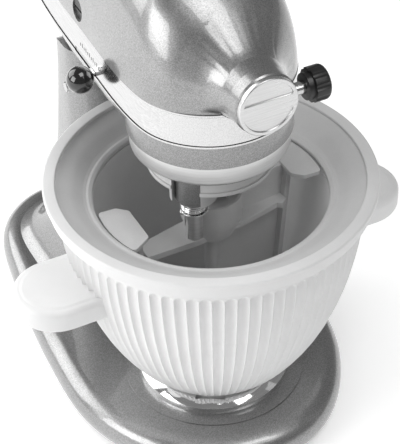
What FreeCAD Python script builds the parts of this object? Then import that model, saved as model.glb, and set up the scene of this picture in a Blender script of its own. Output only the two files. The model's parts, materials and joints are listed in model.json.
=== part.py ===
import FreeCAD, Part
import math
import os

# Tilt-head stand machine carrying a frozen-bowl ice cream attachment.
# Millimetres, +Z up, -Y towards the attachment hub at the front of the head.
# Every shape is drawn with the bowl's axis at X = Y = 0 and the table at Z = 0,
# then moved by SHIFT_Y so that the whole object's box is centred on the origin.

os.makedirs("parts", exist_ok=True)
V = FreeCAD.Vector
X, Y, Z = V(1, 0, 0), V(0, 1, 0), V(0, 0, 1)

# ---- driving dimensions -------------------------------------------------------------
FRONT_Y = -88.0            # front of the base, from the bowl's axis
REAR_Y = 271.0             # rear of the head
RIM_R, RIM_TOP = 108.5, 193.5           # bowl's rim, the front of the whole object
SHIFT_Y = (RIM_R - REAR_Y) / 2
CLEAR = 0.3                # gap between bodies that move past each other
RUN = 0.05                 # radial running clearance of a shaft in its bearing

FOOT_H = 5.0               # rubber foot
BASE_TOP = 27.0
BASE_WALL = 3.5
HALF_W = 44.5              # half width of the pedestal's top

PIVOT_Y, PIVOT_Z = 129.0, 196.0
PIVOT_R = 4.0
EAR_R = 34.5               # rounded top of the pedestal's two ears
SLOT_HALF = 25.0           # half width of the slot between the ears
LUG_R = 27.0               # back of the head's lug, turned about the pivot

HEAD_R = 53.0              # gear case and plan radius of the head's front
HEAD_TOP = 353.0
DOME_Z = 275.0             # where the head's sides start to curve in
SPLIT_Z = 262.0            # joint between upper and lower housing
CASE_Z = 238.0             # underside of the gear case
BELLY_Z = 233.0            # underside of the head over the pedestal
WALL = 3.0
BAND_LO, BAND_HI = 254.7, 279.0
BAND_T = 0.9
COVER_Y = 236.0            # joint between upper housing and rear cover

HUB_Z = 294.7
HUB_R = 20.2
HUB_FACE_Y = -73.0
HUB_JOIN_Y = -46.0         # where the hub's barrel meets the upper housing
CAP_T = 3.3
SOCKET_R = 16.0            # bore of the hub
SQUARE = 9.5               # square drive socket, across flats

DRIP_R = 51.1              # planetary drip ring
DRIP_LO, DRIP_HI = 225.0, 237.4
GEAR_M = 1.2               # module of the planet pinion and ring gear
RING_TEETH, PLANET_TEETH = 60, 15
PLANET_OFFSET = GEAR_M * (RING_TEETH - PLANET_TEETH) / 2
PLANET_ANGLE = math.radians(219.5)
BX = PLANET_OFFSET * math.cos(PLANET_ANGLE)
BY = PLANET_OFFSET * math.sin(PLANET_ANGLE)
SHAFT_R = 6.2              # beater shaft
SHAFT_END = 162.0
BOSS_R = 11.8
BOSS_Z = 194.0

CENTRE_TEETH, PINION_TEETH = 60, 12     # module 1 spur pair
WHEEL_X, WHEEL_Y = 24.0, 26.833         # worm wheel axis, 36 mm from the centre shaft
MOTOR_Z = 291.0

BAND_R, RIM_LOW = 106.8, 182.1
MOUTH_R, MOUTH_Z = 76.6, 179.9
CHILL_FLOOR = 48.0         # inside floor of the bowl
FLOOR_R = 54.0             # inside radius just above the floor
PLATE_R, PLATE_SCREW_R = 52.0, 27.0
PLATE_LO, PLATE_TOP = 27.0, 31.5
LOCK_LIP_R, LOCK_R, LOCK_HALF, LOCK_TURN = 42.6, 45.6, 9.0, 30.0    # bayonet lock under the bowl
HANDLE_TIP, HANDLE_HALF = 140.0, 28.0
HANDLE_TOP, HANDLE_T = 145.0, 17.0

DASHER_ANGLE = 6.0
CUP_R, CUP_TOP = 20.2, 180.0
ARM_Z = 149.0

BOWL_LOW, BOWL_FOOT_R = 37.0, 46.0
CLIP_R = 41.0
WING_R = 75.2
PIN_Z, PIN_HALF, PIN_ANGLE = 183.0, 9.0, -20.0

CAP_R = 19.4
KNOB_X, KNOB_Y, KNOB_Z = 31.0, -62.0, 290.0
KNOB_R, KNOB_LENGTH, KNOB_SHANK_R = 11.0, 10.5, 4.0
SLOT_Y0, SLOT_Y1, LEVER_Z = 51.0, 85.0, 257.2
BALL_R = 8.9
BALL_AT = V(-66.5, 46.5, 260.5)
LEVER_BEND = V(-57.6, SLOT_Y0 + 3.4, LEVER_Z)
LUG_FRONT, LUG_CUT = 9.5, 60.0
HOUSING_SCREWS = [(-41, 98), (41, 98), (-36, 175), (36, 175)]
COVER_SCREW_Z = 300.0
GLAND_R, GLAND_Z = 5.5, 254.0


# ---- small helpers ------------------------------------------------------------------
def cyl(r, h, at, axis=Z):
    return Part.makeCylinder(r, h, V(*at), axis)


def tube(ro, ri, h, at, axis=Z):
    step = V(axis)
    return cyl(ro, h, at, axis).cut(Part.makeCylinder(ri, h + 2, V(*at) - step, axis))


def box(x0, x1, y0, y1, z0, z1):
    return Part.makeBox(x1 - x0, y1 - y0, z1 - z0, V(x0, y0, z0))


def cone(r1, r2, h, at, axis=Z):
    return Part.makeCone(r1, r2, h, V(*at), axis)


def face_of(points):
    corners = [V(*p) for p in points]
    return Part.Face(Part.makePolygon(corners + corners[:1]))


def revolve(profile):
    """Turn a closed (radius, z) outline about the Z axis."""
    return face_of([(r, 0, z) for r, z in profile]).revolve(V(0, 0, 0), Z, 360)


def turned(profile, at, axis):
    """Turn a closed (radius, distance) outline about any axis through a point."""
    shape = revolve(profile)
    place = FreeCAD.Placement(V(*at), FreeCAD.Rotation(Z, axis))
    shape.Placement = place
    return shape


def prism_x(points, x0, x1):
    """Extrude a (y, z) outline along X."""
    return face_of([(x0, y, z) for y, z in points]).extrude(V(x1 - x0, 0, 0))


def prism_z(points, z0, z1):
    """Extrude an (x, y) outline along Z."""
    return face_of([(x, y, z0) for x, y in points]).extrude(V(0, 0, z1 - z0))


def spun(shape, degrees, at=(0, 0, 0), axis=Z):
    copy = shape.copy()
    copy.rotate(V(*at), axis, degrees)
    return copy


def mirrored_x(shape):
    return shape.mirror(V(0, 0, 0), X)


def join(shapes):
    whole = shapes[0]
    for shape in shapes[1:]:
        whole = whole.fuse(shape)
    return whole.removeSplitter()


def group(shapes):
    return Part.makeCompound(shapes)


def polar(radius, degrees, cx=0.0, cy=0.0):
    angle = math.radians(degrees)
    return cx + radius * math.cos(angle), cy + radius * math.sin(angle)


def closed_spline(points):
    curve = Part.BSplineCurve()
    curve.interpolate([V(*p) for p in points], PeriodicFlag=True)
    return Part.Wire([curve.toShape()])


def fillet(shape, radius, chosen):
    edges = [e for e in shape.Edges if chosen(e)]
    return shape.makeFillet(radius, edges)


def gear_outline(teeth, module, outer, root, thick):
    """Gear outline: straight-sided teeth whose width falls from root to tip.
    thick is the tooth's share of the pitch at the pitch circle."""
    pitch_r = module * teeth / 2
    step = 360.0 / teeth
    slope = math.degrees(math.tan(math.radians(20)) / pitch_r)
    half = thick * step / 2
    points = []
    for i in range(teeth):
        mid = i * step
        for radius, side in ((root, -1), (pitch_r, -1), (outer, -1), (outer, 1), (pitch_r, 1), (root, 1)):
            width = half - (radius - pitch_r) * slope
            points.append(polar(radius, mid + side * width))
    return points


def spur(teeth, module, z0, z1, at, thick=0.42, phase=0.0):
    pitch_r = module * teeth / 2
    outline = gear_outline(teeth, module, pitch_r + 0.85 * module, pitch_r - 1.15 * module, thick)
    gear = spun(prism_z(outline, z0, z1), phase)
    gear.translate(V(at[0], at[1], 0))
    return gear


# ---- the head's outer surface -------------------------------------------------------
def head_outline(z, half, front, rear, centre=0.0):
    """Plan of the head at one height: a half ellipse in front, a long taper behind."""
    right = []
    for i in range(1, 5):
        angle = math.radians(22.5 * i)
        right.append((half * math.sin(angle), centre - (centre - front) * math.cos(angle), z))
    for i in range(1, 7):
        s = math.sin(math.radians(90 * i / 7))
        right.append((half * math.sqrt(1 - s ** 3), centre + (rear - centre) * s, z))
    left = [(-x, y, z) for x, y, z in reversed(right)]
    return closed_spline([(0, front, z)] + right + [(0, rear, z)] + left)


def dome(inset):
    """Upper part of the head, drawn in from the outer surface by inset."""
    rise = HEAD_TOP - inset - DOME_Z
    nose = HEAD_R + 0.6 - inset
    wires = [head_outline(z, HEAD_R + 1.5 - inset, -nose, REAR_Y - inset)
             for z in (SPLIT_Z, DOME_Z - 7)]
    for t in (0, 12, 24, 36, 47, 57, 66, 74, 81, 86, 88.5):
        c = math.cos(math.radians(t))
        s = math.sin(math.radians(t))
        half = (HEAD_R + 1.5 - inset) * c ** 0.62
        front = 70 - (70 + nose) * c ** 0.55
        rear = 150 + (REAR_Y - 150 - inset) * c ** 0.5
        wires.append(head_outline(DOME_Z + rise * s, half, front, rear, 25 * (1 - c)))
    return Part.makeLoft(wires, True, False)


def belly():
    """Lower part of the head behind the gear case."""
    rows = [(SPLIT_Z, 52.2, -50, 269, 0), (250, 51.4, -46, 264, 4), (240, 48.5, -34, 246, 18),
            (BELLY_Z, 44.5, -14, 210, 40)]
    wires = [head_outline(*row) for row in rows]
    return Part.makeLoft(wires, True, False).common(box(-80, 80, 5, 300, 200, 300))


def belly_room():
    """Room inside the lower housing, behind the gear case."""
    low = head_outline(241.5, 43, -20, 238)
    high = head_outline(SPLIT_Z + 0.5, 47, -20, 263)
    return Part.makeLoft([low, high], True, True).common(box(-80, 80, 8, 300, 200, 300))


def hub_solid(extra=0.0):
    """Attachment hub: a round barrel that flares into the nose of the head."""
    outline = [(0, 0), (HUB_R - 0.8 + extra, 0), (HUB_R + extra, 1.2), (HUB_R + 0.4 + extra, 9),
               (HUB_R + 1.8 + extra, 18), (HUB_R + 4.8 + extra, 27), (HUB_R + 9 + extra, 36), (0, 36)]
    return turned(outline, (0, HUB_FACE_Y, HUB_Z), Y)


# ---- stand --------------------------------------------------------------------------
def base_outline(z, inset=0.0):
    side = [(52, -73), (82, -38), (98, 6), (99.5, 50), (95, 110), (86, 170), (72, 216), (42, 241)]
    mid_y = (FRONT_Y + 246) / 2
    ring = [(0, FRONT_Y)] + side + [(0, 246)] + [(-x, y) for x, y in reversed(side)]
    points = []
    for x, y in ring:
        span = math.hypot(x, y - mid_y)
        shrink = 1 - inset / span
        points.append((x * shrink, mid_y + (y - mid_y) * shrink, z))
    return closed_spline(points)


def column_outline(z, half, front, rear, inset=0.0, power=3.2):
    half, mid, depth = half - inset, (front + rear) / 2, (rear - front) / 2 - inset
    points = []
    for i in range(24):
        c, s = math.cos(math.radians(15 * i)), math.sin(math.radians(15 * i))
        x = half * math.copysign(abs(c) ** (2 / power), c)
        y = mid + depth * math.copysign(abs(s) ** (2 / power), s)
        points.append((x, y, z))
    return closed_spline(points)


COLUMN_ROWS = [(BASE_TOP, 69, 92, 226), (33, 61, 98, 214), (45, 54.5, 104, 203), (62, 50, 108, 194),
               (85, 47.5, 110.5, 186), (115, 46, 111, 177), (150, 45, 111, 169), (190, HALF_W, 111, 161),
               (231, HALF_W, 111, 157)]


def column_solid(inset):
    return Part.makeLoft([column_outline(z, h, f, r, inset) for z, h, f, r in COLUMN_ROWS], True, False)


BOLT_SPOTS = [(-38, 130), (38, 130), (-36, 190), (36, 190)]
FOOT_SPOTS = [(-70, -20), (70, -20), (-72, 150), (72, 150), (0, 215)]


def base_casting():
    rows = [(FOOT_H - 1, 5.5), (FOOT_H + 2, 1.8), (14, 0.0), (19, 1.2), (23, 4.2), (26, 9.5), (BASE_TOP, 16)]
    body = Part.makeLoft([base_outline(z, i) for z, i in rows], True, False)
    hollow_rows = [(0, 8), (14, 4.5), (19, 7), (BASE_TOP - BASE_WALL, 18)]
    hollow = Part.makeLoft([base_outline(z, i) for z, i in hollow_rows], True, False)
    bosses = [cyl(7, 19, (x, y, FOOT_H)) for x, y in BOLT_SPOTS + FOOT_SPOTS]
    body = join([body.cut(hollow)] + bosses)
    for x, y in BOLT_SPOTS:
        body = body.cut(cyl(4.2, 40, (x, y, 0)))
    for x, y in FOOT_SPOTS:
        body = body.cut(cyl(2.0, 15, (x, y, 0)))
    for i in range(3):
        x, y = polar(PLATE_SCREW_R, 90 + 120 * i)
        body = body.cut(cyl(2.0, 12, (x, y, BASE_TOP - 8)))
    body = body.cut(cyl(10, 20, (0, 0, 14)))
    ledge = tube(64, 62.4, 1, (0, 0, BASE_TOP - 0.6))
    return body.cut(ledge)


def slot_shape(grow):
    """Space for the head's lug between the ears; grow is its clearance."""
    back = cyl(LUG_R + grow, 2 * SLOT_HALF, (-SLOT_HALF, PIVOT_Y, PIVOT_Z), X)
    back = back.common(box(-60, 60, PIVOT_Y - 10, 300, 0, 400))
    above = box(-SLOT_HALF, SLOT_HALF, PIVOT_Y - 10, 300, PIVOT_Z - 11, 300)
    return back.fuse(above)


def pedestal_column():
    cavity = column_solid(4.5).common(box(-90, 90, 60, 260, 30, 158))
    for x, y in BOLT_SPOTS:
        cavity = cavity.cut(cyl(7, 80, (x, y, 0)))
    body = column_solid(0).cut(cavity).cut(slot_shape(0.6))
    behind = box(-100, 100, PIVOT_Y, 260, PIVOT_Z, 300)
    body = body.cut(behind.cut(cyl(EAR_R, 200, (-100, PIVOT_Y, PIVOT_Z), X)))
    body = body.cut(box(-100, 100, 60, 260, PIVOT_Z + EAR_R - 1, 300))
    body = body.cut(cyl(PIVOT_R, 200, (-100, PIVOT_Y, PIVOT_Z), X))
    body = body.cut(cyl(2.5, 30, (0, PIVOT_Y - 13.6, 212)))
    body = body.cut(box(27, 60, 137, 155, 206, 212))
    for x, y in BOLT_SPOTS:
        body = body.cut(cyl(3.0, 24, (x, y, BASE_TOP - 2)))
    return body.cut(cyl(1.5, 60, (-35, PIVOT_Y, PIVOT_Z), Z))


def pedestal_bolts():
    return group([join([cyl(3.0, BASE_TOP + 20 - FOOT_H, (x, y, FOOT_H)), cyl(6, 4.4, (x, y, 0.6))])
                  for x, y in BOLT_SPOTS])


def rubber_feet():
    return group([tube(9, 2.6, FOOT_H, (x, y, 0)).fuse(tube(9, 2.0, 1.5, (x, y, FOOT_H - 1.5)))
                  for x, y in FOOT_SPOTS])


def foot_screws():
    return group([cyl(2.0, 12, (x, y, 2.5)).fuse(cyl(2.6, 2, (x, y, 1.5))) for x, y in FOOT_SPOTS])


def hinge_pin():
    pin = cyl(PIVOT_R, 2 * HALF_W + 1.6, (-HALF_W - 0.8, PIVOT_Y, PIVOT_Z), X)
    pin = pin.cut(tube(PIVOT_R + 2, PIVOT_R - 0.8, 1.5, (-HALF_W - 1.0, PIVOT_Y, PIVOT_Z), X))
    return pin.cut(cyl(1.5, 6, (-35, PIVOT_Y, PIVOT_Z + PIVOT_R - 1.5), Z))


def hinge_set_screw():
    screw = cyl(1.5, 12, (-35, PIVOT_Y, PIVOT_Z + PIVOT_R - 1.5))
    return screw.cut(box(-37, -33, PIVOT_Y - 0.4, PIVOT_Y + 0.4, PIVOT_Z + 13.5, PIVOT_Z + 16))


def head_height_screw():
    top = BELLY_Z - CLEAR
    at = (0, PIVOT_Y - 13.6, 214)
    screw = join([cyl(2.5, top - 214, at), cyl(3.8, 2.4, (0, at[1], top - 2.4))])
    return screw.cut(box(-5, 5, at[1] - 0.6, at[1] + 0.6, top - 1.2, top + 1))


def bowl_clamp_plate():
    """Polished plate on the base: a sloped rim round a recess with three bayonet slots."""
    plate = revolve([(8, PLATE_LO), (PLATE_R, PLATE_LO), (PLATE_R, PLATE_TOP), (46.5, PLATE_TOP + 4.2),
                     (LOCK_LIP_R, PLATE_TOP + 4.2), (LOCK_LIP_R, PLATE_LO + 3), (8, PLATE_LO + 3)])
    plate = plate.cut(tube(LOCK_R + 0.6, LOCK_LIP_R - 1, 3.4, (0, 0, PLATE_LO + 3)))
    for i in range(3):
        plate = plate.cut(cyl(2.2, 8, (*polar(PLATE_SCREW_R, 90 + 120 * i), PLATE_LO - 1)))
        notch = box(0, LOCK_R + 0.6, -LOCK_HALF - 1, LOCK_HALF + 1, PLATE_LO + 3, PLATE_TOP + 6)
        plate = plate.cut(spun(notch, 90 + LOCK_TURN + 120 * i))
    return plate


def clamp_plate_screws():
    screw = cyl(2.0, 9, (PLATE_SCREW_R, 0, PLATE_LO - 6)).fuse(cone(2.0, 3.6, 1.6, (PLATE_SCREW_R, 0, PLATE_LO + 3)))
    return group([spun(screw, 90 + 120 * i) for i in range(3)])


# ---- head ---------------------------------------------------------------------------
BRUSH_Y, BRUSH_Z = 77.0, MOTOR_Z - 1.0


def barrel_bore():
    """Room inside the hub: the accessory's socket, then the drive shaft's bush."""
    return turned([(0, -1), (SOCKET_R, -1), (SOCKET_R, 27), (9, 27), (9, 50), (0, 50)],
                  (0, HUB_FACE_Y, HUB_Z), Y)


def band_path(z0, z1, outer, inner):
    """A strip that follows the head's plan between two heights."""
    def ring(offset):
        wire = head_outline(z0, HEAD_R + offset, -HEAD_R - offset, REAR_Y - 2 + offset)
        return Part.Face(wire).extrude(V(0, 0, z1 - z0))
    return ring(outer).cut(ring(inner))


def ahead_of_join():
    return box(-60, 60, HUB_FACE_Y - 10, HUB_JOIN_Y, HUB_Z - 50, HUB_Z + 50)


def attachment_hub():
    """Round barrel that takes accessories, open in front, with the knob's hole in its side."""
    barrel = hub_solid().common(ahead_of_join()).cut(barrel_bore())
    return barrel.cut(cyl(KNOB_SHANK_R + RUN, 40, (0, KNOB_Y, KNOB_Z), X))


def upper_housing():
    shell = dome(0).cut(band_path(SPLIT_Z - 1, BAND_HI, 6, 0.0))
    inside = dome(WALL)
    shell = shell.fuse(hub_solid().cut(inside)).cut(inside).cut(hub_solid().common(ahead_of_join()))
    seat = cyl(SOCKET_R + 3, 9, (0, HUB_JOIN_Y, HUB_Z), Y)
    shell = shell.fuse(seat).cut(barrel_bore())
    shell = shell.cut(box(-80, 80, COVER_Y, 300, 200, 400))
    return shell.cut(cyl(7.5, 140, (-70, BRUSH_Y, BRUSH_Z), X))


def trim_band():
    strip = band_path(BAND_LO, BAND_HI, BAND_T, 0.3)
    edges = [band_path(z, z + 1.3, BAND_T + 0.5, 0.3) for z in (BAND_LO, BAND_HI - 1.3)]
    strip = join([strip] + edges)
    strip = strip.cut(box(-100, 100, COVER_Y + 0.4, 300, 200, 400))
    return strip.cut(hub_solid(0.2)).cut(lever_slot())


def lever_slot():
    return box(-70, -40, SLOT_Y0, SLOT_Y1, LEVER_Z - 1.7, LEVER_Z + 1.7)


def rear_cover():
    shell = dome(0).cut(dome(WALL)).common(box(-80, 80, COVER_Y + 0.4, 300, SPLIT_Z, 400))
    shell = shell.cut(cyl(4.5, 10, (0, REAR_Y - 3.4, COVER_SCREW_Z), Y))
    return shell.cut(cyl(2.2, 40, (0, REAR_Y - 20, COVER_SCREW_Z), Y))


def rear_cover_screw():
    head = cone(4.5, 3.6, 1.6, (0, REAR_Y - 3.4, COVER_SCREW_Z), Y)
    return cyl(2.2, 25, (0, REAR_Y - 28, COVER_SCREW_Z), Y).fuse(head)


def head_lug():
    """Lug under the head that turns on the hinge pin between the pedestal's ears."""
    half = SLOT_HALF - 0.6
    drum = cyl(LUG_R, 2 * half, (-half, PIVOT_Y, PIVOT_Z), X)
    slope = math.radians(LUG_CUT)
    far = 80
    edge = (PIVOT_Y + far * math.cos(slope), PIVOT_Z - far * math.sin(slope))
    keep = prism_x([(PIVOT_Y, PIVOT_Z), edge, (PIVOT_Y + far, PIVOT_Z - far), (PIVOT_Y + far, PIVOT_Z + far),
                    (PIVOT_Y - LUG_FRONT, PIVOT_Z + far), (PIVOT_Y - LUG_FRONT, PIVOT_Z)], -half, half)
    small = cyl(LUG_FRONT, 2 * half, (-half, PIVOT_Y, PIVOT_Z), X)
    neck = box(-half, half, PIVOT_Y - LUG_FRONT, PIVOT_Y + 24, PIVOT_Z, BELLY_Z + 3)
    return join([drum.common(keep), small, neck])


def lower_housing():
    body = belly().fuse(cyl(HEAD_R, SPLIT_Z - CASE_Z, (0, 0, CASE_Z)))
    body = body.cut(cyl(56, 30, (0, 0, CASE_Z - 30)))
    body = body.cut(belly_room()).cut(cyl(HEAD_R - 3.5, 40, (0, 0, CASE_Z + 4)))
    posts = [cyl(11, 20, (0, 0, CASE_Z)), cyl(8, 17, (WHEEL_X, WHEEL_Y, CASE_Z + 2))]
    posts += [cyl(4, SPLIT_Z - 240, (x, y, 240)) for x, y in HOUSING_SCREWS]
    body = join([body, head_lug()] + posts)
    body = body.cut(cyl(9, 40, (0, 0, CASE_Z - 10)))
    body = body.cut(cyl(4 + RUN, 30, (WHEEL_X, WHEEL_Y, CASE_Z + 6)))
    body = body.cut(cyl(PIVOT_R + RUN, 200, (-100, PIVOT_Y, PIVOT_Z), X))
    for x, y in HOUSING_SCREWS:
        body = body.cut(cyl(2.0, 60, (x, y, 220))).cut(cyl(3.5, 20, (x, y, 216.6)))
    body = body.cut(cyl(GLAND_R, 30, (0, REAR_Y - 18, GLAND_Z), Y))
    body = body.cut(cyl(GLAND_R + 1.5, 20, (0, REAR_Y - 3.2, GLAND_Z), Y))
    return body.cut(lever_slot())


def housing_screws():
    return group([cyl(2.0, 24, (x, y, 236)).fuse(cyl(3.5, 2.0, (x, y, 234.6))) for x, y in HOUSING_SCREWS])


def internal_ring_gear():
    blank = cyl(45, 9, (0, 0, CASE_Z - 9))
    pitch_r = GEAR_M * RING_TEETH / 2
    space = gear_outline(RING_TEETH, GEAR_M, pitch_r + 1.15 * GEAR_M, pitch_r - 0.85 * GEAR_M, 0.58)
    hole = prism_z(space, CASE_Z - 10, CASE_Z + 1)
    return blank.cut(hole)


def motor_stator():
    ring = tube(37, 25.5, 54, (0, 108, MOTOR_Z), Y)
    return ring.common(box(-36, 36, 100, 170, MOTOR_Z - 33, MOTOR_Z + 33))


def brush_holders():
    return group([tube(7.5, 4.5, 28, (x, BRUSH_Y, BRUSH_Z), X) for x in (15.5, -43.5)])


def carbon_brushes():
    return group([box(x, x + 18, BRUSH_Y - 3, BRUSH_Y + 3, BRUSH_Z - 3, BRUSH_Z + 3) for x in (12.6, -30.6)])


def brush_caps():
    """Slotted screw caps in the sides of the head, over the motor's brushes."""
    cap = cyl(7.5, 7.5, (44.5, BRUSH_Y, BRUSH_Z), X).fuse(cyl(4.3, 6, (38.5, BRUSH_Y, BRUSH_Z), X))
    cap = cap.cut(box(51, 56, BRUSH_Y - 6, BRUSH_Y + 6, BRUSH_Z - 0.8, BRUSH_Z + 0.8))
    return group([cap, mirrored_x(cap)])


def bearing_brackets():
    inner = dome(WALL + 0.1)
    plates = []
    for y in (46, 206):
        plate = box(-60, 60, y, y + 6, SPLIT_Z + 0.2, 340).common(inner)
        plates.append(plate.cut(cyl(11, 10, (0, y - 1, MOTOR_Z), Y)))
    return group(plates)


def rotor_bearings():
    return group([tube(11, 5 + RUN, 6, (0, y, MOTOR_Z), Y) for y in (46, 206)])


def centre_bushings():
    return group([tube(9, 6 + RUN, 8, (0, 0, z)) for z in (CASE_Z, CASE_Z + 12)])


def worm_bracket():
    arm = join([box(8, 46, 17, 37, 299, 304), box(43, 46, 17, 37, SPLIT_Z, 299),
                box(43, 50.4, 17, 37, SPLIT_Z, SPLIT_Z + 2)])
    return arm.cut(cyl(4 + RUN, 10, (WHEEL_X, WHEEL_Y, 296)))


def speed_plate():
    return tube(27, 7, 2.5, (0, 219, MOTOR_Z), Y).fuse(box(-4, 4, 216, 219, MOTOR_Z + 10, MOTOR_Z + 24))


def cord_gland():
    body = tube(GLAND_R, 3.4, 9, (0, REAR_Y - 10, GLAND_Z), Y)
    return body.fuse(tube(GLAND_R + 1.5, 3.4, 2.0, (0, REAR_Y - 3.2, GLAND_Z), Y))


def hub_bushing():
    return tube(9, 6 + RUN, 9, (0, HUB_FACE_Y + 27, HUB_Z), Y)


# ---- rotor, worm wheel, hub drive ---------------------------------------------------
def motor_shaft():
    shaft = cyl(5, 206, (0, 12, MOTOR_Z), Y)
    worm = [tube(6.2, 4, 1.7, (0, 15 + 3.142 * i, MOTOR_Z), Y) for i in range(8)]
    return join([shaft] + worm)


def armature_core():
    core = tube(24.8, 5, 50, (0, 110, MOTOR_Z), Y)
    for i in range(12):
        x, z = polar(23.5, 30 * i, 0, MOTOR_Z)
        core = core.cut(cyl(2.6, 60, (x, 105, z), Y))
    return core


def commutator():
    drum = tube(12.3, 5, 20, (0, 67, MOTOR_Z), Y)
    for i in range(24):
        slot = box(11.4, 13, 69, 88, MOTOR_Z - 0.3, MOTOR_Z + 0.3)
        drum = drum.cut(spun(slot, 15 * i, (0, 0, MOTOR_Z), Y))
    return drum


def cooling_fan():
    hub = tube(9, 5, 12, (0, 176, MOTOR_Z), Y).fuse(tube(30, 8, 1.6, (0, 176, MOTOR_Z), Y))
    blade = box(8.5, 29, 177, 187, MOTOR_Z - 0.7, MOTOR_Z + 0.7)
    return join([hub] + [spun(blade, 40 * i, (0, 0, MOTOR_Z), Y) for i in range(9)])


def worm_wheel():
    return spur(36, 1.0, 286, 296, (WHEEL_X, WHEEL_Y)).common(
        cyl(17.4, 20, (WHEEL_X, WHEEL_Y, 280))).cut(cyl(4, 20, (WHEEL_X, WHEEL_Y, 280)))


def worm_pinion_shaft():
    phase = math.degrees(math.atan2(WHEEL_Y, WHEEL_X)) + 180 + 180.0 / PINION_TEETH
    pinion = spur(PINION_TEETH, 1.0, 262, 269, (WHEEL_X, WHEEL_Y), 0.42, phase)
    return cyl(4, 59, (WHEEL_X, WHEEL_Y, 244.5)).fuse(pinion)


def hub_drive_shaft():
    flange = cyl(12, 8, (0, HUB_FACE_Y + 18, HUB_Z), Y)
    shaft = flange.fuse(cyl(6, 36, (0, HUB_FACE_Y + 18, HUB_Z), Y))
    half = SQUARE / 2
    return shaft.cut(box(-half, half, HUB_FACE_Y + 10, HUB_FACE_Y + 26, HUB_Z - half, HUB_Z + half))


def bevel(outer, inner, depth, slots, bore):
    """Bevel gear blank with its teeth cut as straight slots; apex side up."""
    blank = turned([(bore, 0), (outer, 0), (inner, depth), (bore, depth)], (0, 0, 0), Z)
    tooth_gap = box(outer - 1.2, outer + 4, -0.7, 0.7, -1, depth + 1)
    for i in range(slots):
        blank = blank.cut(spun(tooth_gap, 360.0 * i / slots))
    return blank


def hub_bevel_gear():
    gear = bevel(20.5, 15.5, 6.2, 23, 6)
    gear.Placement = FreeCAD.Placement(V(0, HUB_FACE_Y + 47.6, HUB_Z), FreeCAD.Rotation(Z, Y))
    return gear


# ---- planetary ----------------------------------------------------------------------
def centre_shaft():
    return cyl(6, 56, (0, 0, 216)).cut(cyl(2, 30, (-15, 0, 219), X))


def centre_gear():
    mesh_angle = math.degrees(math.atan2(WHEEL_Y, WHEEL_X))
    gear = spur(CENTRE_TEETH, 1.0, 262, 269, (0, 0), 0.42, mesh_angle)
    ring = bevel(25.0, 19.0, 4.8, 28, 6)
    ring.translate(V(0, 0, 269))
    return gear.fuse(ring).cut(cyl(6, 40, (0, 0, 255)))


def planetary_carrier():
    disc = cyl(DRIP_R - 3, 5, (0, 0, 222))
    hub = cyl(11, 21, (0, 0, 216))
    boss = cyl(BOSS_R, 222 - BOSS_Z - 1, (BX, BY, BOSS_Z + 2)).fuse(
        cone(BOSS_R - 1.6, BOSS_R, 2, (BX, BY, BOSS_Z)))
    body = join([disc, hub, boss])
    body = body.cut(cyl(6, 60, (0, 0, 200))).cut(cyl(SHAFT_R + RUN, 60, (BX, BY, 180)))
    return body.cut(cyl(2, 30, (-15, 0, 219), X))


def planetary_pin():
    return cyl(2, 21, (-10.5, 0, 219), X)


def planetary_ring():
    """Satin drip ring round the planetary, with a rolled lower edge."""
    wall = DRIP_R - 3
    return revolve([(wall, DRIP_LO - 1.2), (DRIP_R - 1.4, DRIP_LO - 1.2), (DRIP_R - 0.3, DRIP_LO - 0.4),
                    (DRIP_R, DRIP_LO + 0.8), (DRIP_R, DRIP_HI - 0.6), (DRIP_R - 0.6, DRIP_HI), (wall, DRIP_HI)])


def drive_clip():
    """Plastic drive piece: clips round the beater shaft's boss and turns the dasher."""
    flange = cyl(CLIP_R, 2.6, (0, 0, 207))
    skirt = tube(CLIP_R - 1.2, CLIP_R - 4, 13.5, (0, 0, 208))
    jaws = tube(BOSS_R + 3.4, BOSS_R, 25, (BX, BY, 197))
    stem = box(-9, 9, -9, 9, CUP_TOP - 2.4, 208)
    stem = fillet(stem, 3, lambda e: abs(e.tangentAt(e.FirstParameter).z) > 0.9)
    stem = stem.cut(box(-6, 6, -20, 6, CUP_TOP - 5, 204))
    body = join([flange, skirt, jaws, stem]).cut(cyl(BOSS_R, 60, (BX, BY, 180)))
    mouth = box(0, 60, -BOSS_R + 2, BOSS_R - 2, 190, 225)
    mouth = spun(mouth, math.degrees(PLANET_ANGLE))
    mouth.translate(V(BX, BY, 0))
    return body.cut(mouth).cut(cyl(11, 20, (0, 0, 215.9)))


# ---- beater shaft -------------------------------------------------------------------
def beater_shaft():
    body = cyl(SHAFT_R, 235.5 - SHAFT_END - 2, (BX, BY, SHAFT_END + 2))
    tip = cone(SHAFT_R - 1.8, SHAFT_R, 2, (BX, BY, SHAFT_END))
    return body.fuse(tip).cut(cross_pin_bore())


def cross_pin_bore():
    pin = cyl(1.6, 2 * PIN_HALF, (BX - PIN_HALF, BY, PIN_Z), X)
    return spun(pin, PIN_ANGLE, (BX, BY, 0))


def beater_cross_pin():
    return cross_pin_bore()


def planet_pinion():
    phase = math.degrees(PLANET_ANGLE) * (1 - RING_TEETH / PLANET_TEETH)
    pinion = spur(PLANET_TEETH, GEAR_M, 228.5, 237, (BX, BY), 0.42, phase)
    return pinion.cut(cyl(SHAFT_R, 30, (BX, BY, 220)))


def beater_spring():
    coils = [Part.makeTorus(SHAFT_R + 1.4, 0.7, V(BX, BY, z)) for z in (186.6, 188.6, 190.6)]
    return group(coils)


def beater_washers():
    return group([tube(SHAFT_R + 2.6, SHAFT_R, 1.0, (BX, BY, z)) for z in (184.7, 191.8)])


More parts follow.
